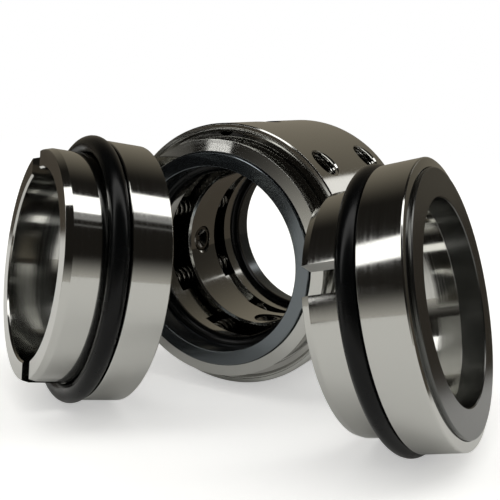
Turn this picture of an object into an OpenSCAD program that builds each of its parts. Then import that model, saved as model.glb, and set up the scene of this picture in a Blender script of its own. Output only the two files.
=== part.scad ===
// Double multi-spring component seal with its two stationary seats.
// Millimetres. The origin is the centre of the drive collar on the shaft axis.
// The shaft axis runs along Y, the front of the rotary unit looks toward -Y, +Z is up.
// Turned sections are written as [radius, s], with s measured from the middle of the collar
// toward the end that the section belongs to.

/* [Collar] */

// outside diameter of the drive collar
collar_od = 63; // [60:0.5:66]
// length of the drive collar
collar_length = 40.5; // [40:0.5:42]
// diameter of the shaft that the seal fits
shaft_d = 40; // [38:0.5:40]
// width of the clamping land inside the collar
land_width = 12.4; // [11:0.1:12.6]
// chamfer on each edge of the clamping land
land_chamfer = 0.5; // [0.3:0.1:1]
// distance of the drive screws from the middle of the collar
drive_screw_offset = 12.4; // [12:0.1:12.8]
// angle of the first drive screw about the shaft axis
drive_screw_angle = 48.5; // [44:0.5:54]
// angle of the first set screw about the shaft axis
set_screw_angle = 3.5; // [-2:0.5:8]

/* [Screws] */

// thread diameter of the set screws and the drive screws
screw_d = 8; // [6:0.5:8]
// length of the set screws in the land
set_screw_length = 10; // [6:0.5:10]
// depth of the drive screws below the outside of the collar
screw_recess = 1.5; // [0.5:0.1:1.8]
// diameter of the dog point on the drive screws
dog_d = 5.5; // [4:0.5:5.5]
// hexagon socket across flats
socket_af = 4; // [3:0.5:4]

/* [Sliding faces] */

// outside diameter of the nose of the face holder
holder_od = 56; // [55:0.5:56]
// reach of the nose beyond the collar
nose_reach = 6; // [4:0.5:8]
// outside diameter of the rotating face ring
face_od = 50; // [49:0.5:51]
// bore of the rotating face ring
face_id = 43.6; // [43:0.1:45]
// length of the rotating face ring
face_length = 6; // [5:0.5:6]
// section of the O-ring on the shaft
shaft_ring_section = 4; // [3.5:0.1:4]
// axial stroke of each sliding face
stroke = 1.2; // [0.5:0.1:1.2]

/* [Thrust rings and springs] */

// bore of the thrust ring
thrust_id = 42.8; // [42:0.2:44]
// outside diameter of the thrust ring
thrust_od = 54.8; // [54:0.2:54.8]
// length of the closed band of the thrust ring
thrust_band = 3.8; // [3.5:0.1:4]
// length of the teeth of the thrust ring
window_length = 5.7; // [5:0.1:5.7]
// step from the bore of the thrust ring out to its teeth
tooth_step = 1.2; // [0.6:0.1:1.4]
// width of the room that each spring has beside a tooth
window_width = 8.2; // [7:0.1:9]
// angle of the first spring about the shaft axis
spring_angle = 26; // [22:0.5:30]
// outside diameter of each spring
spring_od = 5.6; // [5:0.1:6]
// wire diameter of each spring
spring_wire = 0.9; // [0.7:0.1:1]
// turns of each spring
spring_turns = 4.5; // [3.5:0.5:5]

/* [Retaining rings] */

// bore of the retaining ring
retainer_id = 56.6; // [56.6:0.1:57]
// thickness of the retaining ring
retainer_t = 1.2; // [1:0.1:1.2]
// angle of the removal notch about the shaft axis
notch_angle = 93.5; // [88:0.5:98]

/* [Seats] */

// diameter of the small end of each seat
seat_small_d = 51; // [50:0.5:52]
// length of the small end of each seat
seat_small_length = 12.2; // [11:0.1:14]
// diameter of the flange of each seat
seat_big_d = 58; // [57:0.5:59]
// length of the flange of each seat
seat_big_length = 8.7; // [8:0.1:10]
// bore of the seat body
seat_bore_d = 42; // [41.5:0.1:43]
// outside diameter of the face ring in the seat
seat_face_od = 53.6; // [52:0.1:54]
// bore of the face ring in the seat
seat_face_id = 41.4; // [41:0.1:42]
// length of the face ring in the seat
seat_face_length = 5.1; // [4:0.1:6]
// how far the face ring stands out of the seat
seat_face_proud = 1; // [0.5:0.1:1.5]
// section of the O-ring on the seat
seat_ring_section = 4.2; // [4:0.1:5]
// width of the two anti-rotation slots
seat_slot_width = 6; // [5:0.5:8]
// length of the two anti-rotation slots
seat_slot_length = 8.5; // [6:0.5:10]

/* [Arrangement] */

// left seat to the side of the rotary unit
left_x = -21; // [-30:0.5:-21]
// left seat in front of the rotary unit
left_y = -47; // [-60:0.5:-46]
// direction that the left seat looks in
left_turn = 57; // [50:1:60]
// tilt of the left seat
left_tilt = -9; // [-10:0.5:0]
// angle of the slots in the left seat
left_slot_angle = 68.3; // [60:0.1:80]
// right seat to the side of the rotary unit
right_x = 48.9; // [48.7:0.1:56]
// right seat in front of the rotary unit
right_y = -29.5; // [-40:0.5:-27]
// direction that the right seat looks in
right_turn = 3; // [-5:1:5]
// tilt of the right seat
right_tilt = 16; // [0:0.5:18]
// angle of the slots in the right seat
right_slot_angle = 153; // [140:1:170]

/* [Output] */

// sub-part to draw

/* [Hidden] */

front = 1;
rear = -1;

steel = [0.72, 0.72, 0.70];
plain_steel = [0.55, 0.54, 0.52];
face_grey = [0.30, 0.32, 0.34];
seat_grey = [0.16, 0.16, 0.15];
black_rubber = [0.06, 0.06, 0.06];

round_fn = 96;
spring_count = 8;
free = 0.3;
seated = 0.05;
half = collar_length / 2;
rim = collar_od / 2;
bore_r = shaft_d / 2 + 0.05;
land = land_width / 2;

// stations along the axis of one end, from the middle of the collar
retainer_out = half - 0.5;
retainer_in = retainer_out - retainer_t;
nose_end = half + nose_reach;
face_end = nose_end + 1.3;
face_back = face_end - face_length;
thrust_front = face_back - 4.35;
thrust_mid = thrust_front - thrust_band;
thrust_back = thrust_mid - window_length;
step_at = thrust_mid - 0.3;
tooth_r = thrust_id / 2 + tooth_step;
flange_front = retainer_in - seated;
flange_back = flange_front - 1.5;
skirt_back = thrust_back + 2.8;

// radii of the sliding group
holder_r = holder_od / 2;
skirt_in = thrust_od / 2 + 0.15;
skirt_out = skirt_in + 1.15;
flange_r = 29.4;
spring_pitch_r = (thrust_id + thrust_od) / 4;
pocket_depth = 2;
screw_r = screw_d / 2;
hole_r = screw_r + seated;
drive_tip = skirt_in + 0.45;
dog_reach = 2.6;
notch_r = 2.7;
notch_pitch_r = retainer_id / 2 + 2.9;

// places one end's section on the shaft axis
module end_axis() {
    rotate([90, 0, 0])
    children();
}

// turned ring from a section written for the front end
module turned(section, end) {
    end_axis()
    rotate_extrude($fn = round_fn)
    polygon([for (p = section) [p[0], end * p[1]]]);
}

// a shape written along +Z, set to point outward at an angle and a station
module radial(angle, s) {
    end_axis()
    translate([0, 0, s])
    rotate([0, 0, angle])
    rotate([0, 90, 0])
    children();
}

/* Collar, screws and retaining rings */

// section of one half of the collar, from the land to the outside
collar_half = [
    [bore_r, land - land_chamfer],
    [bore_r + land_chamfer, land],
    [thrust_od / 2 + free, land],
    [thrust_od / 2 + free, land + 2.8],
    [skirt_out + 0.25, land + 2.8],
    [skirt_out + 0.25, flange_back - stroke - 0.35],
    [flange_r + free, flange_back - stroke - 0.35],
    [flange_r + free, retainer_in - seated],
    [flange_r + 0.85, retainer_in - seated],
    [flange_r + 0.85, retainer_out + seated],
    [flange_r + 0.15, retainer_out + seated],
    [flange_r + 0.15, retainer_out + 0.15],
    [flange_r + 0.65, half],
    [flange_r + 0.80, half],
    [flange_r + 0.80, half - 0.25],
    [flange_r + 1.05, half - 0.25],
    [flange_r + 1.05, half],
    [rim - 0.3, half],
    [rim, half - 0.3]
];

function mirrored(list) = [for (i = [len(list) - 1 : -1 : 0]) [list[i][0], -list[i][1]]];

module drive_screw_hole(s, angle) {
    radial(angle, s) {
        translate([0, 0, thrust_od / 2 - 1])
        cylinder(h = rim, r = hole_r, $fn = 48);
        translate([0, 0, rim - 0.4])
        cylinder(h = 1, r1 = hole_r, r2 = hole_r + 1, $fn = 48);
    }
}

module set_screw_hole(angle) {
    radial(angle, 0) {
        translate([0, 0, bore_r - 2])
        cylinder(h = rim, r = hole_r, $fn = 48);
        translate([0, 0, rim - 0.4])
        cylinder(h = 1, r1 = hole_r, r2 = hole_r + 1, $fn = 48);
    }
}

module spring_pocket(end, angle) {
    end_axis()
    rotate([0, 0, angle])
    translate([spring_pitch_r, 0, end == front ? land - pocket_depth : -land - 1])
    cylinder(h = pocket_depth + 1, r = spring_od / 2 + 0.2, $fn = 32);
}

module drive_collar() {
    color(steel)
    difference() {
        end_axis()
        rotate_extrude($fn = round_fn)
        polygon(concat(collar_half, mirrored(collar_half)));
        for (i = [0 : 3]) {
            set_screw_hole(set_screw_angle + 90 * i);
            for (s = [-drive_screw_offset, drive_screw_offset])
                drive_screw_hole(s, drive_screw_angle + 90 * i);
        }
        for (i = [0 : spring_count - 1])
            for (end = [front, rear])
                spring_pocket(end, spring_angle + 360 / spring_count * i);
    }
}

// cup point socket set screw, tip at z = 0
module set_screw_body(length) {
    difference() {
        union() {
            cylinder(h = 1.1, r1 = screw_r - 0.9, r2 = screw_r, $fn = 48);
            translate([0, 0, 1.1])
            cylinder(h = length - 1.6, r = screw_r, $fn = 48);
            translate([0, 0, length - 0.5])
            cylinder(h = 0.5, r1 = screw_r, r2 = screw_r - 0.5, $fn = 48);
        }
        translate([0, 0, -0.01])
        cylinder(h = 1.3, r1 = screw_r - 1.5, r2 = 0.6, $fn = 48);
        translate([0, 0, length - 4])
        cylinder(h = 5, r = socket_af / sqrt(3), $fn = 6);
    }
}

module set_screws() {
    color(plain_steel)
    for (i = [0 : 3])
        radial(set_screw_angle + 90 * i, 0)
        translate([0, 0, bore_r + 0.25])
        set_screw_body(set_screw_length);
}

// dog point socket set screw, shoulder of the dog at z = 0
module drive_screw_body(length) {
    difference() {
        union() {
            translate([0, 0, -dog_reach])
            cylinder(h = dog_reach + 0.5, r = dog_d / 2, $fn = 48);
            cylinder(h = 0.4, r1 = screw_r - 0.4, r2 = screw_r, $fn = 48);
            translate([0, 0, 0.4])
            cylinder(h = length - 0.8, r = screw_r, $fn = 48);
            translate([0, 0, length - 0.4])
            cylinder(h = 0.4, r1 = screw_r, r2 = screw_r - 0.4, $fn = 48);
        }
        translate([0, 0, length - 2.4])
        cylinder(h = 5, r = socket_af / sqrt(3), $fn = 6);
    }
}

module drive_screws(end) {
    color(plain_steel)
    for (i = [0 : 3])
        radial(drive_screw_angle + 90 * i, end * drive_screw_offset)
        translate([0, 0, drive_tip])
        drive_screw_body(rim - screw_recess - drive_tip);
}

module retaining_ring(end) {
    mid = end * (retainer_in + retainer_out) / 2;
    color(steel)
    difference() {
        turned([
            [retainer_id / 2, retainer_in],
            [flange_r + 0.75, retainer_in],
            [flange_r + 0.75, retainer_out],
            [retainer_id / 2, retainer_out]
        ], end);
        end_axis()
        rotate([0, 0, notch_angle])
        translate([notch_pitch_r, 0, mid])
        cylinder(h = 3, r = notch_r, center = true, $fn = 48);
        end_axis()
        rotate([0, 0, notch_angle - 9.5])
        translate([retainer_id / 2 + 1, 0, mid])
        cube([4, 0.4, 3], center = true);
    }
}

/* Sliding group of one end */

module face_holder(end) {
    color(steel)
    difference() {
        turned([
            [shaft_ring_section + bore_r + 0.1, thrust_front + seated],
            [shaft_ring_section + bore_r + 0.1, face_back - seated],
            [face_od / 2 + seated, face_back - seated],
            [face_od / 2 + seated, nose_end + 0.4],
            [face_od / 2 + 0.3, nose_end + 0.6],
            [holder_r, nose_end],
            [holder_r, flange_front],
            [flange_r, flange_front],
            [flange_r, flange_back],
            [skirt_out, flange_back],
            [skirt_out, skirt_back],
            [skirt_in, skirt_back],
            [skirt_in, thrust_front + seated]
        ], end);
        for (i = [0 : 3])
            holder_notch(end, drive_screw_angle + 90 * i);
        flange_notch(end);
    }
}

// notch in the flange behind the one in the retaining ring, so that a tool reaches in
module flange_notch(end) {
    low = flange_back - 1;
    high = flange_front + 0.5;
    end_axis()
    rotate([0, 0, notch_angle])
    translate([notch_pitch_r, 0, end == front ? low : -high])
    cylinder(h = high - low, r = notch_r, $fn = 48);
}

// clearance in the skirt for a drive screw, open toward the land
module holder_notch(end, angle) {
    reach = drive_screw_offset + hole_r + stroke + free;
    end_axis()
    rotate([0, 0, angle])
    translate([skirt_in - 1, -hole_r - free, end == front ? 0 : -reach])
    cube([5, 2 * (hole_r + free), reach]);
}

module face_ring(end) {
    color(face_grey)
    turned([
        [face_id / 2, face_back],
        [face_od / 2 - 0.3, face_back],
        [face_od / 2, face_back + 0.3],
        [face_od / 2, face_end - 0.15],
        [face_od / 2 - 0.15, face_end],
        [face_id / 2 + 0.15, face_end],
        [face_id / 2, face_end - 0.15]
    ], end);
}

module shaft_ring(end) {
    color(black_rubber)
    end_axis()
    translate([0, 0, end * (thrust_front + face_back) / 2])
    rotate_extrude($fn = round_fn)
    translate([bore_r + 0.05 + shaft_ring_section / 2, 0])
    circle(d = shaft_ring_section, $fn = 48);
}

// opening between two teeth, with room for two springs and open toward the land
module opening(end, angle) {
    side = 180 / spring_count;
    edge = [for (t = [thrust_id / 2 - 5, thrust_od / 2 + 6]) [
        t * cos(side) - window_width / 2 * sin(side),
        t * sin(side) + window_width / 2 * cos(side)
    ]];
    end_axis()
    rotate([0, 0, angle])
    translate([0, 0, end == front ? thrust_back - 1 : -thrust_mid])
    linear_extrude(thrust_mid - thrust_back + 1)
    polygon([
        [edge[0][0], -edge[0][1]],
        [edge[1][0], -edge[1][1]],
        edge[1],
        edge[0]
    ]);
}

// slot in a tooth for the dog of a drive screw
module dog_slot(end, angle) {
    width = dog_d + 0.6;
    low = drive_screw_offset - dog_d / 2 - free;
    high = drive_screw_offset + dog_d / 2 + stroke + free;
    end_axis()
    rotate([0, 0, angle])
    translate([drive_tip - dog_reach - 0.35, -width / 2, end == front ? low : -high])
    cube([6, width, high - low]);
}

module thrust_ring(end) {
    color(steel)
    difference() {
        turned([
            [tooth_r + 0.2, thrust_back],
            [thrust_od / 2, thrust_back],
            [thrust_od / 2, thrust_front],
            [thrust_id / 2 + 0.3, thrust_front],
            [thrust_id / 2, thrust_front - 0.3],
            [thrust_id / 2, step_at + 0.2],
            [thrust_id / 2 + 0.2, step_at],
            [tooth_r, step_at],
            [tooth_r, thrust_back + 0.2]
        ], end);
        for (i = [0 : 3]) {
            opening(end, drive_screw_angle + 45 + 90 * i);
            dog_slot(end, drive_screw_angle + 90 * i);
        }
    }
}

/* Springs: a round wire swept along a helix with closed end turns */

spring_low = land - pocket_depth + seated;
spring_high = thrust_mid - seated;
wire_sides = 6;
turn_steps = 13;
coil_steps = ceil(spring_turns * turn_steps);
coil_r = spring_od / 2 - spring_wire / 2;

// height of the wire's centre along the coil, flat over the first and last turn
function rise(t) =
    let (flat = 0.8 / spring_turns, lead = spring_wire * 1.02)
    t < flat ? lead * t / flat
    : t > 1 - flat ? spring_high - spring_low - spring_wire - lead * (1 - t) / flat
    : lead + (spring_high - spring_low - spring_wire - 2 * lead) * (t - flat) / (1 - 2 * flat);

function coil_point(t) = [
    coil_r * cos(360 * spring_turns * t),
    coil_r * sin(360 * spring_turns * t),
    spring_low + spring_wire / 2 + rise(t)
];

function unit(v) = v / norm(v);

// corners of the wire's outline at one step along the coil
function wire_section(i) =
    let (
        t = i / coil_steps,
        ahead = unit(coil_point(min(1, t + 0.001)) - coil_point(max(0, t - 0.001))),
        out = [cos(360 * spring_turns * t), sin(360 * spring_turns * t), 0],
        up = unit(cross(ahead, out))
    )
    [for (k = [0 : wire_sides - 1])
        coil_point(t)
        + spring_wire / 2 * (cos(360 * k / wire_sides) * out + sin(360 * k / wire_sides) * up)];

coil_points = [for (i = [0 : coil_steps]) each wire_section(i)];

coil_faces = [
    [for (k = [0 : wire_sides - 1]) k],
    for (i = [0 : coil_steps - 1])
        for (k = [0 : wire_sides - 1])
            let (a = i * wire_sides + k, b = i * wire_sides + (k + 1) % wire_sides)
            each [[a, a + wire_sides, b], [b, a + wire_sides, b + wire_sides]],
    [for (k = [wire_sides - 1 : -1 : 0]) coil_steps * wire_sides + k]
];

module spring(end, index) {
    color(plain_steel)
    end_axis()
    rotate([0, 0, spring_angle + 360 / spring_count * (index - 1)])
    translate([spring_pitch_r, 0, 0])
    rotate([end == front ? 0 : 180, 0, 0])
    polyhedron(points = coil_points, faces = coil_faces, convexity = 6);
}

/* Stationary seats, written with s = 0 at the shoulder and the lapped face toward +s */

seat_small_r = seat_small_d / 2;
seat_big_r = seat_big_d / 2;
seat_bore_r = seat_bore_d / 2;
seat_front = seat_big_length + 0.25;
seat_face_end = seat_big_length + seat_face_proud;
seat_face_back = seat_face_end - seat_face_length;
seat_ring_mid = seat_ring_section / 2 + 0.02;
floor_z = -rim;

// height of the shoulder's centre at which the lowest edge of a tilted seat meets the floor
function seat_height(tilt) = floor_z + max(
    seat_big_r * cos(tilt) - (seat_big_length - 0.25) * sin(tilt),
    (seat_big_r - 0.25) * cos(tilt) - seat_big_length * sin(tilt),
    (seat_small_r + seat_ring_section / 2) * cos(tilt)
        + seat_ring_mid * sin(tilt) + seat_ring_section / 2,
    seat_small_r * cos(tilt) + seat_small_length * sin(tilt)
);

module left_place() {
    translate([left_x, left_y, seat_height(left_tilt)])
    rotate([0, -left_tilt, left_turn])
    rotate([90, 0, 90])
    children();
}

module right_place() {
    translate([right_x, right_y, seat_height(right_tilt)])
    rotate([0, -right_tilt, right_turn])
    rotate([90, 0, 90])
    children();
}

module seat_body(slot_angle) {
    color(steel)
    difference() {
        rotate_extrude($fn = round_fn)
        polygon([
            [seat_bore_r + 0.4, -seat_small_length],
            [seat_small_r - 0.45, -seat_small_length],
            [seat_small_r, -seat_small_length + 1.5],
            [seat_small_r, -0.3],
            [seat_small_r - 0.2, -0.15],
            [seat_small_r - 0.2, 0],
            [seat_big_r - 0.2, 0],
            [seat_big_r, 0.2],
            [seat_big_r, seat_big_length - 0.25],
            [seat_big_r - 0.25, seat_big_length],
            [seat_face_od / 2 + 0.15, seat_front],
            [seat_face_od / 2 + seated, seat_front - 0.1],
            [seat_face_od / 2 + seated, seat_face_back - seated],
            [seat_bore_r, seat_face_back - seated],
            [seat_bore_r, -seat_small_length + 0.4]
        ]);
        for (side = [0, 180])
            rotate([0, 0, slot_angle + side])
            translate([seat_bore_r - 4, -seat_slot_width / 2, -seat_small_length - 1])
            cube([12, seat_slot_width, seat_slot_length + 1]);
    }
}

module seat_face() {
    color(seat_grey)
    rotate_extrude($fn = round_fn)
    polygon([
        [seat_face_id / 2, seat_face_back],
        [seat_face_od / 2 - 0.3, seat_face_back],
        [seat_face_od / 2, seat_face_back + 0.3],
        [seat_face_od / 2, seat_face_end - 0.2],
        [seat_face_od / 2 - 0.2, seat_face_end],
        [seat_face_id / 2 + 0.2, seat_face_end],
        [seat_face_id / 2, seat_face_end - 0.2]
    ]);
}

module seat_ring() {
    color(black_rubber)
    translate([0, 0, -seat_ring_mid])
    rotate_extrude($fn = round_fn)
    translate([seat_small_r + 0.02 + seat_ring_section / 2, 0])
    circle(d = seat_ring_section, $fn = 48);
}

drive_collar();
set_screws();
drive_screws(front);  // front_drive_screws
drive_screws(rear);  // rear_drive_screws
retaining_ring(front);  // front_retaining_ring
retaining_ring(rear);  // rear_retaining_ring
face_holder(front);  // front_face_holder
face_holder(rear);  // rear_face_holder
face_ring(front);  // front_face_ring
face_ring(rear);  // rear_face_ring
shaft_ring(front);  // front_shaft_ring
shaft_ring(rear);  // rear_shaft_ring
thrust_ring(front);  // front_thrust_ring
thrust_ring(rear);  // rear_thrust_ring
for (i = [1 : spring_count]) {
    spring(front, i);
    spring(rear, i);
}
left_place() seat_body(left_slot_angle);  // left_seat_body
left_place() seat_face();  // left_seat_face
left_place() seat_ring();  // left_seat_ring
right_place() seat_body(right_slot_angle);  // right_seat_body
right_place() seat_face();  // right_seat_face
right_place() seat_ring();  // right_seat_ring
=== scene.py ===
"""Looks of a double multi-spring component seal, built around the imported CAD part.

Every turned piece is built again as a fine lathed mesh with exact normals, because polished
steel shows each facet of a coarse mesh. All sizes are millimetres until a piece is added.
"""

import logging
import math
from dataclasses import dataclass, field
from enum import Enum
from functools import reduce
from typing import Callable, Iterable, Sequence

import bpy
import numpy as np
from mathutils import Matrix, Vector


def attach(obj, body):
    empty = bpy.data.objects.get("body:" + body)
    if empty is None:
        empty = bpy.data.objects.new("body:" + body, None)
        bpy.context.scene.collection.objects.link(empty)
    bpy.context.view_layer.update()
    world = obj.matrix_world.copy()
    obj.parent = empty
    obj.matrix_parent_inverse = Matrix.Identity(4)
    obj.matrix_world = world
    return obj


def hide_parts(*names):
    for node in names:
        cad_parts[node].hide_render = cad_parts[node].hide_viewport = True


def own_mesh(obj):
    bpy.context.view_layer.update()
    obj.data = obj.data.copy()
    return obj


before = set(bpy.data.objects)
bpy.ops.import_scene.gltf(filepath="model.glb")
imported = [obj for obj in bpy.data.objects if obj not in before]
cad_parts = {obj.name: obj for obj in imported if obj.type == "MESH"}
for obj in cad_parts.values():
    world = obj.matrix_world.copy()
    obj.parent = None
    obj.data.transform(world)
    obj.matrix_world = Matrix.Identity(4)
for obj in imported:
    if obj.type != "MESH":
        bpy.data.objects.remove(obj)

log = logging.getLogger("seal")

MM = 0.001
Mesh = bpy.types.Mesh
Socket = bpy.types.NodeSocket
Point2 = tuple[float, float]
Colour = tuple[float, float, float, float]
WHITE = (1.0, 1.0, 1.0, 1.0)


def srgb(code: str) -> Colour:
    """Turns a hex sRGB code into the linear colour that shaders want.

    Args:
        code: six hex digits, with or without a leading hash.

    Returns:
        Linear red, green, blue and an alpha of one.
    """
    code = code.lstrip("#")
    channels = [int(code[i : i + 2], 16) / 255 for i in (0, 2, 4)]
    linear = [c / 12.92 if c <= 0.04045 else ((c + 0.055) / 1.055) ** 2.4 for c in channels]
    return linear[0], linear[1], linear[2], 1.0


class End(Enum):
    """The two ends of the rotary unit, as the sign of the station along the axis."""

    FRONT = 1
    REAR = -1

    @property
    def word(self) -> str:
        """The word that the CAD nodes and bodies of this end begin with."""
        return self.name.lower()


class Side(Enum):
    """The two loose stationary seats."""

    LEFT = "left"
    RIGHT = "right"


def angles_from(first: float, count: int) -> list[float]:
    """Equally spaced angles about the axis, in degrees."""
    return [first + 360 / count * i for i in range(count)]


# Sizes


# room round what slides
FREE = 0.3
# room between pieces that touch in the real one
SEATED = 0.05
# room left past the end of a stroke or of a dog point
SPARE = 0.35
# how far a cutter reaches past the surface that it opens
PAST = 1.0
# how far the floor lies below the lowest piece
FLOOR_GAP = 0.02
# steps around a large turned ring, a notch or countersink, a screw's cup and a spring pocket
RING_SIDES = 240
NOTCH_SIDES = 64
CUP_SIDES = 48
POCKET_SIDES = 40


@dataclass(frozen=True)
class CollarSize:
    """Sizes of the drive collar, its screws and retaining rings, in millimetres."""

    od: float = 63.0
    length: float = 40.5
    chamfer: float = 0.3
    bore_r: float = 20.05
    land: float = 6.2
    land_chamfer: float = 0.5
    # length of the bore that guides the thrust ring's teeth
    guide: float = 2.8
    flange_r: float = 29.4
    groove_depth: float = 0.85
    lip: float = 0.15
    mouth_chamfer: float = 0.5
    # the fine groove that runs round each end face
    face_groove: float = 0.25
    screws: int = 4
    screw_offset: float = 12.4
    screw_angle: float = 48.5
    set_screw_angle: float = 3.5
    screw_r: float = 4.0
    hole_r: float = 4.05
    pitch: float = 1.25
    tap_depth: float = 0.68
    countersink: float = 0.35
    retainer_id: float = 56.6
    retainer_t: float = 1.2
    retainer_depth: float = 0.5
    # how far the ring reaches past flange_r into its groove
    retainer_grip: float = 0.75
    gap_width: float = 0.4
    gap_angle: float = 84.0
    notch_angle: float = 93.5
    notch_r: float = 2.7
    notch_out: float = 2.9

    @property
    def half(self) -> float:
        """Half the collar's length."""
        return self.length / 2

    @property
    def rim(self) -> float:
        """The collar's outside radius, which is also its height above the floor."""
        return self.od / 2

    @property
    def notch_pitch_r(self) -> float:
        """Distance of the removal notch's centre from the axis."""
        return self.retainer_id / 2 + self.notch_out

    @property
    def drive_angles(self) -> list[float]:
        """Angles of the drive screws of one end."""
        return angles_from(self.screw_angle, self.screws)


@dataclass(frozen=True)
class SlidingSize:
    """Sizes of the sliding group at one end, in millimetres."""

    holder_r: float = 28.0
    nose_reach: float = 6.0
    # the nose's end is a flat cone that rises toward the face ring
    nose_rise: float = 0.6
    nose_edge: float = 0.3
    nose_break: float = 0.2
    flange_t: float = 1.5
    skirt_t: float = 1.15
    skirt_free: float = 0.15
    skirt_room: float = 0.25
    # how much shorter the skirt is than the thrust ring's teeth
    skirt_short: float = 2.8
    face_r: float = 25.0
    face_in: float = 21.8
    face_length: float = 6.0
    face_proud: float = 1.3
    face_chamfer: float = 0.3
    face_edge: float = 0.15
    shaft_ring: float = 4.0
    # length of the room that the O-ring on the shaft has
    ring_room: float = 4.35
    ring_free: float = 0.1
    stroke: float = 1.2
    thrust_in: float = 21.4
    thrust_out: float = 27.4
    thrust_chamfer: float = 0.3
    band: float = 3.8
    window: float = 5.7
    window_width: float = 8.2
    tooth_step: float = 1.2
    # the step to the teeth lies this far behind the start of the windows
    tooth_back: float = 0.3
    tooth_break: float = 0.2
    springs: int = 8
    spring_angle: float = 26.0
    spring_od: float = 5.6
    wire: float = 0.9
    turns: float = 4.5
    pocket: float = 2.0
    pocket_free: float = 0.2
    dog_d: float = 5.5
    dog_reach: float = 2.6
    # the drive screws' shoulders stay this far outside the skirt's bore
    dog_lift: float = 0.45
    recess: float = 1.5
    socket_af: float = 4.0
    set_screw_length: float = 10.0

    @property
    def tooth_r(self) -> float:
        """Radius of the inner side of the thrust ring's teeth."""
        return self.thrust_in + self.tooth_step

    @property
    def spring_pitch_r(self) -> float:
        """Distance of the springs' centres from the axis."""
        return (self.thrust_in + self.thrust_out) / 2

    @property
    def spring_angles(self) -> list[float]:
        """Angles of the springs of one end."""
        return angles_from(self.spring_angle, self.springs)


@dataclass(frozen=True)
class SeatSize:
    """Sizes of one stationary seat, in millimetres, from its shoulder."""

    small_r: float = 25.5
    small_length: float = 12.2
    big_r: float = 29.0
    big_length: float = 8.7
    bore_r: float = 21.0
    bore_break: float = 0.4
    # the cone that leads the O-ring onto the small end, and the neck beside the shoulder
    lead_depth: float = 0.45
    lead_length: float = 1.5
    relief: float = 0.2
    relief_length: float = 0.3
    edge: float = 0.25
    lip: float = 0.15
    lip_break: float = 0.1
    face_r: float = 26.8
    face_in: float = 20.7
    face_length: float = 5.1
    face_chamfer: float = 0.3
    face_edge: float = 0.2
    proud: float = 1.0
    ring: float = 4.2
    ring_free: float = 0.02
    slots: int = 2
    slot_width: float = 6.0
    slot_length: float = 8.5


@dataclass(frozen=True)
class SeatPose:
    """Where a seat stands beside the collar."""

    x: float
    y: float
    turn: float
    tilt: float
    slot_angle: float


COLLAR = CollarSize()
SLIDING = SlidingSize()
SEAT = SeatSize()
POSES = {
    Side.LEFT: SeatPose(-21.0, -47.0, 57.0, -9.0, 68.3),
    Side.RIGHT: SeatPose(48.9, -29.5, 3.0, 16.0, 153.0),
}


class Stations:
    """Stations and radii at one end, worked out from the sizes as the CAD source does."""

    def __init__(self, collar: CollarSize, sliding: SlidingSize) -> None:
        """Works them out, in millimetres from the middle of the collar or from the axis.

        Args:
            collar: sizes of the collar.
            sliding: sizes of the sliding group.
        """
        self.retainer_out = collar.half - collar.retainer_depth
        self.retainer_in = self.retainer_out - collar.retainer_t
        self.nose_end = collar.half + sliding.nose_reach
        self.face_end = self.nose_end + sliding.face_proud
        self.face_back = self.face_end - sliding.face_length
        self.thrust_front = self.face_back - sliding.ring_room
        self.thrust_mid = self.thrust_front - sliding.band
        self.thrust_back = self.thrust_mid - sliding.window
        self.step_at = self.thrust_mid - sliding.tooth_back
        self.flange_front = self.retainer_in - SEATED
        self.flange_back = self.flange_front - sliding.flange_t
        self.skirt_back = self.thrust_back + sliding.skirt_short
        self.skirt_in = sliding.thrust_out + sliding.skirt_free
        self.skirt_out = self.skirt_in + sliding.skirt_t
        self.drive_tip = self.skirt_in + sliding.dog_lift


AT = Stations(COLLAR, SLIDING)


# Turned meshes


# a radius that counts as on the axis, and the shortest rounding worth making, in millimetres
ON_AXIS = 1e-6
SHORTEST = 1e-4
# a bend that counts as straight, in radians, and the most that a rounding takes of a stretch
STRAIGHT = 0.02
MOST = 0.4


@dataclass(frozen=True)
class Strip:
    """One straight stretch of a turned section, with the surface normal at both ends."""

    start: Point2
    stop: Point2
    start_normal: Point2
    stop_normal: Point2


def unit2(x: float, y: float) -> Point2:
    """Scales a pair to length one."""
    size = math.hypot(x, y) or 1.0
    return x / size, y / size


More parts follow.
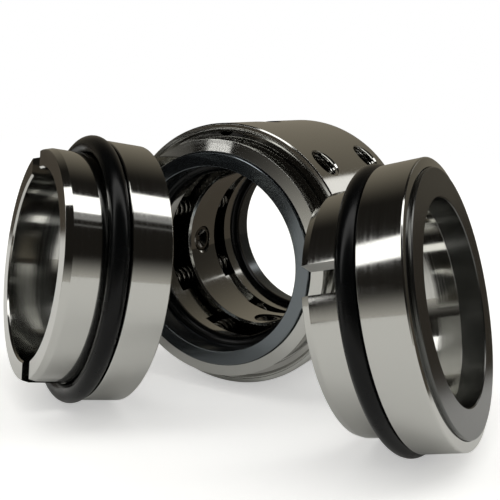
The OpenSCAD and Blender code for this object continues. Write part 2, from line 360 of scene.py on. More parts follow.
def rounded(corners: Sequence[Point2], fillet: float, steps: int = 3) -> list[Strip]:
    """Rounds the corners of a closed section and keeps the true normal along it.

    Args:
        corners: radius and station of each corner, in millimetres.
        fillet: radius of the small rounding on each corner.
        steps: straight stretches in each rounding.

    Returns:
        The section as strips, in order, with outward normals.
    """
    points = list(corners)
    pairs = zip(points, points[1:] + points[:1])
    if sum(a[0] * b[1] - b[0] * a[1] for a, b in pairs) < 0:
        points.reverse()
    chain: list[tuple[Point2, Point2, Point2]] = []
    for i, here in enumerate(points):
        last, after = points[i - 1], points[(i + 1) % len(points)]
        len_in = math.dist(last, here)
        len_out = math.dist(here, after)
        d_in = unit2(here[0] - last[0], here[1] - last[1])
        d_out = unit2(after[0] - here[0], after[1] - here[1])
        n_in, n_out = (d_in[1], -d_in[0]), (d_out[1], -d_out[0])
        turn = math.acos(max(-1.0, min(1.0, d_in[0] * d_out[0] + d_in[1] * d_out[1])))
        reach = min(fillet * math.tan(turn / 2), MOST * len_in, MOST * len_out)
        if here[0] < ON_AXIS or turn < STRAIGHT or reach < SHORTEST:
            chain.append((here, n_in, n_out))
            continue
        a = (here[0] - d_in[0] * reach, here[1] - d_in[1] * reach)
        b = (here[0] + d_out[0] * reach, here[1] + d_out[1] * reach)
        for k in range(steps + 1):
            u = k / steps
            w = ((1 - u) ** 2, 2 * u * (1 - u), u * u)
            point = tuple(w[0] * a[j] + w[1] * here[j] + w[2] * b[j] for j in (0, 1))
            normal = unit2(n_in[0] * (1 - u) + n_out[0] * u, n_in[1] * (1 - u) + n_out[1] * u)
            chain.append((point, normal, normal))
    return [
        Strip(p, q, out, into)
        for (p, _, out), (q, into, _) in zip(chain, chain[1:] + chain[:1])
    ]


def mesh_of(name: str, points: Sequence, faces: Sequence) -> Mesh:
    """Makes a mesh from points and faces.

    Args:
        name: name of the mesh.
        points: vertex positions.
        faces: vertex numbers of each face.

    Returns:
        The mesh.
    """
    mesh = bpy.data.meshes.new(name)
    mesh.from_pydata([tuple(p) for p in points], [], [tuple(f) for f in faces])
    mesh.update()
    return mesh


def table_of(
    items: bpy.types.bpy_prop_collection, name: str, shape: tuple[int, ...], kind: type = float
) -> np.ndarray:
    """Reads one property of all of a mesh's items.

    Args:
        items: vertices, loops or polygons.
        name: the property.
        shape: shape of one item's value.
        kind: type of the numbers.

    Returns:
        One row for each item.
    """
    values = np.empty(len(items) * math.prod(shape), kind)
    items.foreach_get(name, values)
    return values.reshape(len(items), *shape)


class Turned:
    """A solid of revolution about local Z that knows the exact normal of its surface.

    A face of a cut mesh counts as turned where it lies NEAR the section, in millimetres, with
    FACING as what a normal that points elsewhere adds to that distance.
    """

    NEAR = 0.06
    FACING = 0.5

    def __init__(self, corners: Sequence[Point2], fillet: float = 0.08, segments: int = RING_SIDES) -> None:
        """Prepares the section.

        Args:
            corners: radius and station of each corner, in millimetres.
            fillet: small rounding on each corner.
            segments: steps around the axis.
        """
        self.strips = rounded(corners, fillet)
        self.segments = segments

    def mesh(self, name: str) -> Mesh:
        """Spins the section.

        Args:
            name: name of the mesh.

        Returns:
            A closed mesh in millimetres.
        """
        count = self.segments
        points: list[tuple[float, float, float]] = []
        rings: list[list[int]] = []
        for strip in self.strips:
            r, s = strip.start
            if r < ON_AXIS:
                points.append((0.0, 0.0, s))
                rings.append([len(points) - 1] * count)
                continue
            rings.append(list(range(len(points), len(points) + count)))
            for j in range(count):
                a = 2 * math.pi * j / count
                points.append((r * math.cos(a), r * math.sin(a), s))
        faces = []
        for k, low in enumerate(rings):
            high = rings[(k + 1) % len(rings)]
            for j in range(count):
                i = (j + 1) % count
                face = [low[j], low[i], high[i], high[j]]
                face = [v for n, v in enumerate(face) if v not in face[:n]]
                if len(face) > 2:
                    faces.append(face)
        return mesh_of(name, points, faces)

    def polish(self, mesh: Mesh) -> None:
        """Gives every corner of a turned face its exact normal, also after cuts.

        Args:
            mesh: a mesh in millimetres, made by this object and perhaps cut since.
        """
        count = len(mesh.polygons)
        points = table_of(mesh.vertices, "co", (3,))
        corner = table_of(mesh.loops, "vertex_index", (), int)
        total = table_of(mesh.polygons, "loop_total", (), int)
        flat = table_of(mesh.polygons, "normal", (3,))
        centre = table_of(mesh.polygons, "center", (3,))
        start = np.array([s.start for s in self.strips])
        span = np.array([s.stop for s in self.strips]) - start
        length2 = np.maximum((span**2).sum(1), 1e-12)
        n0 = np.array([s.start_normal for s in self.strips])
        n1 = np.array([s.stop_normal for s in self.strips])
        angle = np.arctan2(centre[:, 1], centre[:, 0])
        at = np.stack([np.hypot(centre[:, 0], centre[:, 1]), centre[:, 2]], 1)
        side = np.stack([flat[:, 0] * np.cos(angle) + flat[:, 1] * np.sin(angle), flat[:, 2]], 1)
        offset = at[:, None] - start[None]
        along = np.clip((offset * span).sum(2) / length2, 0, 1)
        gap = np.linalg.norm(offset - along[..., None] * span, axis=2)
        gap += self.FACING * (1 - side @ unit_rows(n0 + n1).T)
        best = gap.argmin(1)
        turned = gap[np.arange(count), best] < self.NEAR
        owner = np.repeat(np.arange(count), total)
        where = points[corner]
        radius = np.hypot(where[:, 0], where[:, 1])
        spin = np.where(radius > 1e-5, np.arctan2(where[:, 1], where[:, 0]), angle[owner])
        pick = best[owner]
        part = np.stack([radius, where[:, 2]], 1) - start[pick]
        share = np.clip((part * span[pick]).sum(1) / length2[pick], 0, 1)[:, None]
        bent = unit_rows(n0[pick] * (1 - share) + n1[pick] * share)
        exact = np.stack([bent[:, 0] * np.cos(spin), bent[:, 0] * np.sin(spin), bent[:, 1]], 1)
        final = np.where(turned[owner][:, None], exact, flat[owner])
        mesh.polygons.foreach_set("use_smooth", np.ones(count, bool))
        mesh.normals_split_custom_set(final.tolist())

    def machined(self, name: str, *cuts: Sequence[Mesh]) -> Mesh:
        """Spins the section, cuts one set of tools after the other and polishes the rest.

        Args:
            name: name of the mesh.
            *cuts: sets of cutters that don't overlap within a set.

        Returns:
            The finished mesh, in millimetres.
        """
        mesh = self.mesh(name)
        for tools in cuts:
            mesh = cut(mesh, tools)
        self.polish(mesh)
        return mesh


def unit_rows(rows: np.ndarray) -> np.ndarray:
    """Scales every row of a table to length one."""
    return rows / np.maximum(np.linalg.norm(rows, axis=1, keepdims=True), 1e-12)


# Cutters


def prism(outline: Sequence[Point2], low: float, high: float) -> Mesh:
    """A straight prism along Z.

    Args:
        outline: corners, anticlockwise.
        low: lower end.
        high: upper end.

    Returns:
        The closed mesh, in millimetres.
    """
    n = len(outline)
    points = [(x, y, z) for z in (low, high) for x, y in outline]
    faces = [[i, (i + 1) % n, n + (i + 1) % n, n + i] for i in range(n)]
    faces += [list(range(n - 1, -1, -1)), list(range(n, 2 * n))]
    return mesh_of("prism", points, faces)


def round_outline(radius: float, sides: int, x: float = 0.0) -> list[Point2]:
    """Corners of a regular polygon centred on the X axis, anticlockwise."""
    turns = [2 * math.pi * i / sides for i in range(sides)]
    return [(x + radius * math.cos(a), radius * math.sin(a)) for a in turns]


def box_outline(x0: float, x1: float, width: float) -> list[Point2]:
    """Corners of a rectangle centred on the X axis, anticlockwise."""
    return [(x0, -width / 2), (x1, -width / 2), (x1, width / 2), (x0, width / 2)]


@dataclass(frozen=True)
class Thread:
    """A coarse metric thread, as a radius that changes along a helix."""

    crest: float
    depth: float
    pitch: float
    flank: float = 2.6
    land: float = 0.15
    sides: int = 40
    rows: int = 8

    def rod(self, low: float, high: float, ends: Callable[[float], float]) -> Mesh:
        """A closed threaded rod along Z.

        Args:
            low: lower end.
            high: upper end.
            ends: largest radius allowed at a height, for chamfers.

        Returns:
            The closed mesh, in millimetres.
        """
        steps = max(2, math.ceil((high - low) / self.pitch * self.rows))
        points = []
        for k in range(steps + 1):
            z = low + (high - low) * k / steps
            for j in range(self.sides):
                phase = (z / self.pitch - j / self.sides) % 1.0
                ridge = min(1.0, max(0.0, self.flank * abs(phase - 0.5) - self.land))
                r = min(self.crest - self.depth * ridge, ends(z))
                a = 2 * math.pi * j / self.sides
                points.append((r * math.cos(a), r * math.sin(a), z))
        faces = []
        for k in range(steps):
            for j in range(self.sides):
                i = (j + 1) % self.sides
                a, b = k * self.sides, (k + 1) * self.sides
                faces.append([a + j, a + i, b + i, b + j])
        faces.append(list(range(self.sides - 1, -1, -1)))
        faces.append(list(range(steps * self.sides, (steps + 1) * self.sides)))
        return mesh_of("thread", points, faces)


def moved(mesh: Mesh, matrix: Matrix) -> Mesh:
    """Moves a mesh's points and hands the same mesh back."""
    mesh.transform(matrix)
    return mesh


def spun(angle: float) -> Matrix:
    """A turn about the axis, from degrees."""
    return Matrix.Rotation(math.radians(angle), 4, "Z")


def spoke(angle: float, station: float) -> Matrix:
    """Points local Z outward from the axis, at an angle in degrees and a station."""
    lift = Matrix.Translation((0, 0, station))
    return lift @ spun(angle) @ Matrix.Rotation(math.pi / 2, 4, "Y")


def prisms(outline: Sequence[Point2], stretch: Point2, angles: Iterable[float]) -> list[Mesh]:
    """One prism at each of several angles about the axis, in degrees."""
    return [moved(prism(outline, *stretch), spun(angle)) for angle in angles]


def joined(meshes: Iterable[Mesh]) -> Mesh:
    """Puts several meshes into one.

    Args:
        meshes: the meshes, which are used up.

    Returns:
        One mesh with all of them.
    """
    points: list = []
    faces: list = []
    for mesh in meshes:
        base = len(points)
        points += [v.co[:] for v in mesh.vertices]
        faces += [[base + v for v in f.vertices] for f in mesh.polygons]
        bpy.data.meshes.remove(mesh)
    return mesh_of("joined", points, faces)


def cut(mesh: Mesh, tools: Iterable[Mesh]) -> Mesh:
    """Cuts tools that don't overlap each other out of a mesh.

    Args:
        mesh: the body, in millimetres.
        tools: closed meshes, which are used up.

    Returns:
        The cut mesh, with the body's name.
    """
    name = mesh.name
    scene = bpy.context.scene.collection
    body = bpy.data.objects.new("cut body", mesh)
    tool = bpy.data.objects.new("cut tool", joined(tools))
    scene.objects.link(body)
    scene.objects.link(tool)
    change = body.modifiers.new("cut", "BOOLEAN")
    change.operation = "DIFFERENCE"
    change.solver = "EXACT"
    change.object = tool
    done = bpy.data.meshes.new_from_object(
        body.evaluated_get(bpy.context.evaluated_depsgraph_get())
    )
    for thing in (body, tool):
        data = thing.data
        bpy.data.objects.remove(thing)
        bpy.data.meshes.remove(data)
    done.name = name
    return done


# Materials


def add_node(
    tree: bpy.types.NodeTree, kind: str, settings: dict | None = None, links: dict | None = None
) -> bpy.types.Node:
    """Adds one shader node, sets it up and links its inputs.

    Args:
        tree: the node tree to add to.
        kind: the node's type name.
        settings: values by property name, or by input name or number.
        links: output sockets by input name or number.

    Returns:
        The new node.
    """
    node = tree.nodes.new(kind)
    for key, value in (settings or {}).items():
        if isinstance(key, str) and hasattr(node, key):
            setattr(node, key, value)
        else:
            node.inputs[key].default_value = value
    for key, socket in (links or {}).items():
        tree.links.new(socket, node.inputs[key])
    return node


class Nodes:
    """A node tree with the small calculations that its masks and patterns are made of."""

    def __init__(self, tree: bpy.types.NodeTree) -> None:
        """Keeps the tree that the nodes go into."""
        self.tree = tree

    def place(self, kind: str = "Object") -> Socket:
        """Where a point is: the piece's own coordinates in metres, or a world direction (Generated)."""
        return add_node(self.tree, "ShaderNodeTexCoord").outputs[kind]

    def math(self, operation: str, *values: object) -> Socket:
        """One math node.

        Args:
            operation: its operation.
            *values: sockets or numbers.

        Returns:
            The result.
        """
        node = add_node(self.tree, "ShaderNodeMath", {"operation": operation})
        for i, value in enumerate(values):
            if isinstance(value, Socket):
                self.tree.links.new(value, node.inputs[i])
            else:
                node.inputs[i].default_value = value
        return node.outputs[0]

    def product(self, *values: object) -> Socket:
        """Multiplies sockets and numbers."""
        return reduce(lambda a, b: self.math("MULTIPLY", a, b), values)

    def total(self, *values: object) -> Socket:
        """Adds sockets and numbers."""
        return reduce(lambda a, b: self.math("ADD", a, b), values)

    def ramp(
        self, value: Socket, low: float, high: float, start: float = 0.0, stop: float = 1.0
    ) -> Socket:
        """A smooth step.

        Args:
            value: the value.
            low: where it starts.
            high: where it ends.
            start: result below.
            stop: result above.

        Returns:
            The result.
        """
        settings = {
            "interpolation_type": "SMOOTHSTEP",
            "From Min": low,
            "From Max": high,
            "To Min": start,
            "To Max": stop,
        }
        return add_node(self.tree, "ShaderNodeMapRange", settings, {"Value": value}).outputs[0]

    def band(self, value: Socket, low: float, high: float, soft: float) -> Socket:
        """One where a value lies in a range, with soft edges.

        Args:
            value: the value.
            low: lower edge.
            high: upper edge.
            soft: half the width of each edge.

        Returns:
            The mask.
        """
        rise = self.ramp(value, low - soft, low + soft)
        return self.product(rise, self.ramp(value, high - soft, high + soft, 1.0, 0.0))

    def axes(self, vector: Socket, heading: float) -> tuple[Socket, Socket]:
        """A vector's level components along a heading and to the right of it.

        Args:
            vector: the vector.
            heading: degrees from X.

        Returns:
            Both components.
        """
        h = math.radians(heading)
        ahead, right = (
            add_node(self.tree, "ShaderNodeVectorMath", {"operation": "DOT_PRODUCT", 1: axis}, {0: vector})
            for axis in ((math.cos(h), math.sin(h), 0), (math.sin(h), -math.cos(h), 0))
        )
        return ahead.outputs["Value"], right.outputs["Value"]

    def mix(self, share: Socket, first: object, second: object) -> Socket:
        """A mix of two colours.

        Args:
            share: how much of the second.
            first: socket or sRGB hex code.
            second: socket or sRGB hex code.

        Returns:
            The colour.
        """
        settings: dict = {"data_type": "RGBA"}
        links = {0: share}
        for slot, colour in ((6, first), (7, second)):
            if isinstance(colour, str):
                settings[slot] = srgb(colour)
            else:
                links[slot] = colour
        return add_node(self.tree, "ShaderNodeMix", settings, links).outputs[2]


class Shader(Nodes):
    """A material on one Principled shader, with the helpers that its finishes share."""

    def __init__(self, name: str, colour: str, metallic: float, roughness: float) -> None:
        """Starts the material.

        Args:
            name: real material and process.
            colour: sRGB hex code of the base colour.
            metallic: one for bare metal, zero for the rest.
            roughness: the shader's roughness.
        """
        self.block = bpy.data.materials.new(name)
        self.block.use_nodes = True
        super().__init__(self.block.node_tree)
        self.surface = self.tree.nodes["Principled BSDF"]
        self.set("Base Color", srgb(colour))
        self.set("Metallic", metallic)
        self.set("Roughness", roughness)

    def set(self, name: str, value: object) -> None:
        """Sets one input of the surface."""
        self.surface.inputs[name].default_value = value

    def wire(self, name: str, socket: Socket) -> None:
        """Links one input of the surface."""
        self.tree.links.new(socket, self.surface.inputs[name])

    def noise(self, size_mm: float, detail: float) -> Socket:
        """Noise with a feature size given in millimetres.

        Args:
            size_mm: size of the features.
            detail: octaves.

        Returns:
            The noise value.
        """
        node = add_node(
            self.tree,
            "ShaderNodeTexNoise",
            {"Scale": 1 / (size_mm * MM), "Detail": detail},
            {"Vector": self.place()},
        )
        return node.outputs[0]

    def rings(self, size_mm: float, detail: float = 1.5) -> Socket:
        """Rings around the axis, as a lathe leaves them on both walls and faces.

        Args:
            size_mm: spacing of the rings.
            detail: octaves.

        Returns:
            The noise value, constant around the axis.
        """
        split = add_node(self.tree, "ShaderNodeSeparateXYZ", None, {0: self.place()})
        x, y, z = split.outputs[0], split.outputs[1], split.outputs[2]
        radius = self.math("SQRT", self.total(self.product(x, x), self.product(y, y)))
        node = add_node(
            self.tree,
            "ShaderNodeTexNoise",
            {"noise_dimensions": "1D", "Scale": 1 / (size_mm * MM), "Detail": detail},
            {"W": self.total(z, radius)},
        )
        return node.outputs[0]

    def spread(self, value: Socket, low: float, high: float) -> Socket:
        """Maps noise around one half onto a range.

        Args:
            value: the noise.
            low: result at 0.3.
            high: result at 0.7.

        Returns:
            The mapped value.
        """
        node = add_node(
            self.tree,
            "ShaderNodeMapRange",
            {"From Min": 0.3, "From Max": 0.7, "To Min": low, "To Max": high},
            {"Value": value},
        )
        return node.outputs[0]

    def uneven(self, noise: Socket, roughness: float, share: float) -> None:
        """Lets the roughness follow a noise.

        Args:
            noise: the noise.
            roughness: the middle value.
            share: the part of it that comes on top or goes off.
        """
        low, high = roughness * (1 - share), roughness * (1 + share)
        self.wire("Roughness", self.spread(noise, low, high))

    def bump(self, height: Socket, depth_mm: float, strength: float) -> None:
        """Adds relief to the surface.

        Args:
            height: height pattern.
            depth_mm: its real depth.
            strength: the bump node's strength.
        """
        node = add_node(
            self.tree,
            "ShaderNodeBump",
            {"Strength": strength, "Distance": depth_mm * MM},
            {"Height": height},
        )
        self.wire("Normal", node.outputs[0])


@dataclass(frozen=True)
class TurnedSteel:
    """Bare steel off the lathe: fine rings, and highlights that run along the axis."""

    name: str
    colour: str
    roughness: float
    vary: float
    ring_mm: float
    relief: float
    anisotropy: float
    smear_mm: float = 9.0
    ring_depth_mm: float = 0.002
    smoothest: float = 0.04

    def build(self) -> bpy.types.Material:
        """Builds the material.

        Returns:
            The finished material.
        """
        shader = Shader(self.name, self.colour, 1.0, self.roughness)
        rings = shader.rings(self.ring_mm)
        # smears and handling marks break the reflection up over some millimetres
        smear = shader.noise(self.smear_mm, 3.0)
        mixed = shader.total(shader.spread(rings, -0.5, 0.5), shader.spread(smear, -0.5, 0.5))
        rough = shader.math("MULTIPLY_ADD", mixed, self.vary, self.roughness)
        shader.wire("Roughness", shader.math("MAXIMUM", rough, self.smoothest))
        shader.bump(rings, self.ring_depth_mm, self.relief)
        shader.set("Anisotropic", self.anisotropy)
        # a quarter turn, so that the tangent round the axis blurs highlights along it
        shader.set("Anisotropic Rotation", 0.25)
        tangent = add_node(
            shader.tree, "ShaderNodeTangent", {"direction_type": "RADIAL", "axis": "Z"}
        )
        shader.wire("Tangent", tangent.outputs[0])
        return shader.block


@dataclass(frozen=True)
class PlainSteel:
    """Steel with no lathe rings to be seen: screws, wire, stamped rings and recesses darkened with painted
    shade.
    """

    name: str
    colour: str
    roughness: float
    grain_mm: float
    relief: float
    grain_depth_mm: float = 0.004
    vary: float = 0.2

    def build(self) -> bpy.types.Material:
        """Builds the material.

        Returns:
            The finished material.
        """
        shader = Shader(self.name, self.colour, 1.0, self.roughness)
        grain = shader.noise(self.grain_mm, 3.0)
        shader.uneven(grain, self.roughness, self.vary)
        shader.bump(grain, self.grain_depth_mm, self.relief)
        return shader.block


@dataclass(frozen=True)
class LappedCarbide:
    """Silicon carbide lapped flat: dark, dense, with a soft mirror."""

    name: str
    colour: str
    fleck: str
    roughness: float
    ior: float
    tint: str
    grain_mm: float = 0.25
    grain_depth_mm: float = 0.001
    relief: float = 0.1

    def build(self) -> bpy.types.Material:
        """Builds the material.

        Returns:
            The finished material.
        """
        shader = Shader(self.name, self.colour, 0.0, self.roughness)
        # pores and grains of the sintered body, only just visible
        grain = shader.noise(self.grain_mm, 3.0)
        flecks = shader.mix(shader.spread(grain, 0.0, 1.0), self.colour, self.fleck)
        shader.wire("Base Color", flecks)
        shader.set("IOR", self.ior)
        shader.set("Specular Tint", srgb(self.tint))
        shader.bump(grain, self.grain_depth_mm, self.relief)
        return shader.block


@dataclass(frozen=True)
class MouldedRubber:
    """Nitrile rubber from a mould: black, satin, with a faint skin."""

    name: str
    colour: str
    roughness: float
    specular: float
    skin_mm: float = 0.5
    skin_depth_mm: float = 0.01
    relief: float = 0.12
    haze_mm: float = 6.0
    vary: float = 0.2

    def build(self) -> bpy.types.Material:
        """Builds the material.

        Returns:
            The finished material.
        """
        shader = Shader(self.name, self.colour, 0.0, self.roughness)
        shader.set("Specular IOR Level", self.specular)
        skin = shader.noise(self.skin_mm, 4.0)
        haze = shader.noise(self.haze_mm, 2.0)
        shader.uneven(haze, self.roughness, self.vary)
        shader.bump(skin, self.skin_depth_mm, self.relief)
        return shader.block


class Finish(Enum):
    """Every finish of the object, named for what it is in the real part."""

    # bright satin of finish-turned stainless: near mirror, blurred along the axis
    STAINLESS = TurnedSteel("finish-turned stainless steel", "#c4c4c0", 0.09, 0.04, 0.6, 0.12, 0.5)
    # recesses round the springs, never polished: dull, and darkened with painted shade of the hollow
    RECESS = PlainSteel("rough-turned oiled steel", "#4a4843", 0.28, 1.0, 0.05)
    # stamped retaining ring, a little greyer than the turned rings around it
    STAMPED = PlainSteel("stamped stainless steel", "#b0afab", 0.07, 4.0, 0.02)
    # machined screws with dull flanks; their colour is also darkened as painted shade of the deep holes
    # they sit in
    SCREW = PlainSteel("machined screw steel", "#7d7b76", 0.2, 1.5, 0.06)
    # drawn wire keeps a smooth grey skin
    WIRE = PlainSteel("drawn spring wire", "#98958e", 0.22, 0.6, 0.1)
    # rotating ring: blue-grey lapped carbide
    ROTARY_FACE = LappedCarbide("lapped silicon carbide", "#121416", "#191c1f", 0.14, 2.65, "#e2edf4")
    # stationary ring: almost black
    SEAT_FACE = LappedCarbide("lapped dark carbide", "#0e0e0d", "#131311", 0.2, 1.95, "#f6f8f4")
    # O-rings: black with a soft blue-grey sheen
    RUBBER = MouldedRubber("moulded nitrile rubber", "#050607", 0.24, 0.2)


class Paint:
    """Builds each finish once and hands it out."""

    def __init__(self) -> None:
        """Starts with no finish built."""
        self._made: dict[Finish, bpy.types.Material] = {}

    def of(self, finish: Finish) -> bpy.types.Material:
        """The material of a finish, built at its first use."""
        if finish not in self._made:
            self._made[finish] = finish.value.build()
        return self._made[finish]


# Pieces


ROOT = "collar_and_seats"
AXIS = Matrix(((1, 0, 0, 0), (0, 0, -1, 0), (0, 1, 0, 0), (0, 0, 0, 1)))


@dataclass
class Workshop:
    """Puts finished meshes into the scene and ties them to the frame."""

    paint: Paint
    made: list[bpy.types.Object] = field(default_factory=list)

    def add(
        self,
        mesh: Mesh,
        place: Matrix,
        finish: Finish,
        slot: str,
        body: str,
        stands_for: Sequence[str],
        rough: Callable[[float, float], bool] | None = None,
    ) -> bpy.types.Object:
        """Adds one piece.

        Args:
            mesh: its mesh, in millimetres.
            place: from the piece's own axes to the row frame, in millimetres.
            finish: its surface.
            slot: name of a material slot; not used.
            body: the CAD body that it rides on.
            stands_for: CAD nodes that it is shown in place of.
            rough: says by radius and distance from the middle which faces were never polished and get the
                recess finish, darkened with painted shade.

        Returns:
            The object.
        """
        mesh.materials.clear()
        mesh.materials.append(self.paint.of(finish))
        if rough:
            # the faces that rough picks get the recess finish, whose dark colour is painted shade
            mesh.materials.append(self.paint.of(Finish.RECESS))
            for face in mesh.polygons:
                x, y, z = face.center
                face.material_index = int(rough(math.hypot(x, y), abs(z)))
        mesh.transform(Matrix.Scale(MM, 4))
        piece = bpy.data.objects.new(mesh.name.replace(" ", "-"), mesh)
        bpy.context.scene.collection.objects.link(piece)
        turn = place.to_3x3().to_4x4()
        piece.matrix_world = Matrix.Translation(place.translation * MM) @ turn
        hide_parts(*stands_for)
        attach(piece, body)
        self.made.append(piece)
        return piece


def section(end: End, corners: Sequence[Point2]) -> list[Point2]:
    """Writes a section given for the front end for either end."""
    return [(r, end.value * s) for r, s in corners]


def span(end: End, low: float, high: float) -> Point2:
    """A range of stations given for the front end, as rising Z values of either end."""
    return (low, high) if end is End.FRONT else (-high, -low)


def lapped_section(size: SlidingSize | SeatSize, back: float, end: float) -> list[Point2]:
    """Section of a face ring: a chamfer at its back and fine edges at its running face.

    Args:
        size: sizes of the group or seat that holds the ring.
        back: station of its back.
        end: station of its running face.

    Returns:
        Radius and station of each corner.
    """
    return [
        (size.face_in, back),
        (size.face_r - size.face_chamfer, back),
        (size.face_r, back + size.face_chamfer),
        (size.face_r, end - size.face_edge),
        (size.face_r - size.face_edge, end),
        (size.face_in + size.face_edge, end),
        (size.face_in, end - size.face_edge),
    ]


@dataclass(frozen=True)
class Collar:
    """The drive collar with its threaded holes and spring pockets."""

    size: CollarSize
    sliding: SlidingSize

    def corners(self) -> list[Point2]:
        """The whole section, from the land outward and over both ends.

        Returns:
            Radius and station of each corner.
        """
        c, s = self.size, self.sliding
        guide_r = s.thrust_out + FREE
        guide_end = c.land + c.guide
        skirt_r = AT.skirt_out + s.skirt_room
        step = AT.flange_back - s.stroke - SPARE
        flange_r = c.flange_r + FREE
        groove_r = c.flange_r + c.groove_depth
        mouth_r = c.flange_r + c.lip
        ring_in = mouth_r + c.mouth_chamfer + c.lip
        ring_out = ring_in + c.face_groove
        half = [
            (c.bore_r, c.land - c.land_chamfer),
            (c.bore_r + c.land_chamfer, c.land),
            (guide_r, c.land),
            (guide_r, guide_end),
            (skirt_r, guide_end),
            (skirt_r, step),
            (flange_r, step),
            (flange_r, AT.retainer_in - SEATED),
            (groove_r, AT.retainer_in - SEATED),
            (groove_r, AT.retainer_out + SEATED),
            (mouth_r, AT.retainer_out + SEATED),
            (mouth_r, AT.retainer_out + c.lip),
            (mouth_r + c.mouth_chamfer, c.half),
            (ring_in, c.half),
            (ring_in, c.half - c.face_groove),
            (ring_out, c.half - c.face_groove),
            (ring_out, c.half),
            (c.rim - c.chamfer, c.half),
            (c.rim, c.half - c.chamfer),
        ]
        return half + [(r, -z) for r, z in reversed(half)]

    def holes(self) -> tuple[list[Mesh], list[Mesh]]:
        """Cutters for the tapped holes and for the countersinks at their mouths.

        Returns:
            The threads and the countersinks.
        """
        c = self.size
        tap = Thread(c.hole_r, c.tap_depth, c.pitch)
        foot = c.rim - c.countersink
        cone = [(0, foot), (c.screw_r, foot), (c.screw_r + PAST, foot + PAST), (0, foot + PAST)]
        spots = [(c.set_screw_angle, 0.0, c.bore_r - 2 * PAST)]
        for station in (-c.screw_offset, c.screw_offset):
            spots.append((c.screw_angle, station, self.sliding.thrust_out - PAST))
        threads = []
        mouths = []
        for turn in angles_from(0, c.screws):
            for angle, station, low in spots:
                place = spoke(angle + turn, station)
                threads.append(moved(tap.rod(low, c.rim + 2 * PAST, lambda z: math.inf), place))
                mouths.append(moved(Turned(cone, fillet=0.0, segments=NOTCH_SIDES).mesh("mouth"), place))
        return threads, mouths

    def pockets(self) -> list[Mesh]:
        """Cutters for the blind holes in the land that the springs stand in.

        Returns:
            One cutter for each spring.
        """
        c, s = self.size, self.sliding
        outline = round_outline(s.spring_od / 2 + s.pocket_free, POCKET_SIDES, s.spring_pitch_r)
        depths = [span(end, c.land - s.pocket, c.land + PAST) for end in End]
        return [
            moved(prism(outline, low, high), spun(angle))
            for angle in s.spring_angles
            for low, high in depths
        ]

    def build(self, shop: Workshop) -> None:
        """Turns, drills and taps the collar.

        Args:
            shop: where the piece goes.
        """
        c = self.size
        mesh = Turned(self.corners()).machined("collar", *self.holes(), self.pockets())
        edge = c.bore_r + c.land_chamfer
        # faces inside the spring recesses get the dull recess finish, darkened with painted shade
        shop.add(
            mesh,
            AXIS,
            Finish.STAINLESS,
            "stainless",
            ROOT,
            ["drive_collar"],
            lambda radius, station: edge < radius < c.flange_r and station < AT.flange_back,
        )


@dataclass(frozen=True)
class Screws:
    """The set screws in the land and the dog-point drive screws near the ends."""

    size: CollarSize
    sliding: SlidingSize
    thread_depth: float = 0.6
    shoulder_break: float = 0.4
    top_break: float = 0.5
    point_break: float = 0.9
    point_slope: float = 0.82
    cup_r: float = 2.5
    cup_flat: float = 0.6
    cup_depth: float = 1.25
    dog_break: float = 0.3
    set_socket: float = 4.0
    drive_socket: float = 2.4
    tip_gap: float = 0.25

    @property
    def thread(self) -> Thread:
        """The thread that every screw has."""
        return Thread(self.size.screw_r, self.thread_depth, self.size.pitch)

    def socket(self, top: float, depth: float) -> Mesh:
        """The cutter of the hexagon that a key goes into, from the screw's top down."""
        return prism(round_outline(self.sliding.socket_af / math.sqrt(3), 6), top - depth, top + PAST)

    def set_screw(self) -> Mesh:
        """One cup-point screw, tip at Z = 0.

        Returns:
            The mesh, in millimetres.
        """
        r, top = self.size.screw_r, self.sliding.set_screw_length
        point, head = r - self.point_break, r - self.top_break

        def ends(z: float) -> float:
            """Largest radius at a height, for the chamfers at both ends."""
            return min(point + z * self.point_slope, head + (top - z), r)

        cup = [
            (0, -PAST),
            (self.cup_r, -PAST),
            (self.cup_r, 0),
            (self.cup_flat, self.cup_depth),
            (0, self.cup_depth),
        ]
        tools = [Turned(cup, fillet=0.0, segments=CUP_SIDES).mesh("cup"), self.socket(top, self.set_socket)]
        return cut(self.thread.rod(0, top, ends), tools)

    def drive_screw(self) -> Mesh:
        """One dog-point screw, shoulder of the dog at Z = 0.

        Returns:
            The mesh, in millimetres.
        """
        c, s = self.size, self.sliding
        top = c.rim - s.recess - AT.drive_tip
        shoulder = c.screw_r - self.shoulder_break

        def ends(z: float) -> float:
            """Radius of the dog below zero, and largest radius of the thread above it."""
            if z < 0:
                return s.dog_d / 2 - max(0.0, -z - s.dog_reach + self.dog_break)
            return min(shoulder + z, shoulder + (top - z))

        rod = self.thread.rod(-s.dog_reach, top, ends)
        return cut(rod, [self.socket(top, self.drive_socket)])

    def build(self, shop: Workshop) -> None:
        """Adds all screws.

        Args:
            shop: where the pieces go.
        """
        c = self.size
        groups = [("set_screws", 0.0, c.set_screw_angle, c.bore_r + self.tip_gap, self.set_screw)]
        for end in End:
            node, station = f"{end.word}_drive_screws", end.value * c.screw_offset
            groups.append((node, station, c.screw_angle, AT.drive_tip, self.drive_screw))
        for node, station, angle, foot, make in groups:
            lift = Matrix.Translation((0, 0, foot))
            places = [spoke(a, station) @ lift for a in angles_from(angle, c.screws)]
            mesh = joined(moved(make(), place) for place in places)
            mesh.name = node.replace("_", " ")
            shop.add(mesh, AXIS, Finish.SCREW, "screw_steel", ROOT, [node])


